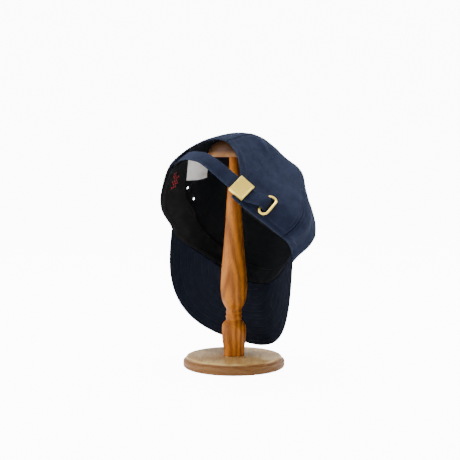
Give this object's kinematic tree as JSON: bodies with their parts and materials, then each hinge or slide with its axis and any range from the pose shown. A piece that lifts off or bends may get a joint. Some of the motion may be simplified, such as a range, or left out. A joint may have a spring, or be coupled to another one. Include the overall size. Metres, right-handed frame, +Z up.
{
  "type": "baseball cap on a hat stand",
  "caption": "Soft panelled cloth cap with a bent peak and a buckled rear strap, hung by its back on a small turned wooden hat stand.",
  "frame": {"origin": "centre of the stand base's underside, on the floor, with the post's axis through it", "axes": "+Z up along the post; the cap's open underside and rear strap face -Y; +X is to the right of someone looking at that side"},
  "size_m": [0.1692, 0.1611, 0.2556],
  "materials": {
    "oiled_wood": "oiled turned hardwood",
    "pale_wood": "thinly oiled hardwood",
    "navy_twill": "washed cotton twill",
    "black_tape": "cotton sweatband tape",
    "navy_thread": "polyester sewing thread",
    "white_label": "plain woven label",
    "brass": "satin brass"
  },
  "bodies": {
    "root": {"stand_base": "pale_wood", "stand_post": "oiled_wood", "stand_knob": "oiled_wood", "panel_front_right": "navy_twill", "panel_side_right": "navy_twill", "panel_rear_right": "navy_twill", "panel_rear_left": "navy_twill", "panel_side_left": "navy_twill", "panel_front_left": "navy_twill", "peak": "navy_twill", "sweatband": "black_tape", "rear_strap": "navy_twill", "strap_buckle": "brass", "slot_ring": "brass", "eyelet_left_rear": "navy_thread", "eyelet_left_front": "navy_thread", "eyelet_right_front": "navy_thread", "eyelet_right_rear": "navy_thread", "top_button": "navy_twill", "care_label": "white_label"}
  },
  "joints": []
}
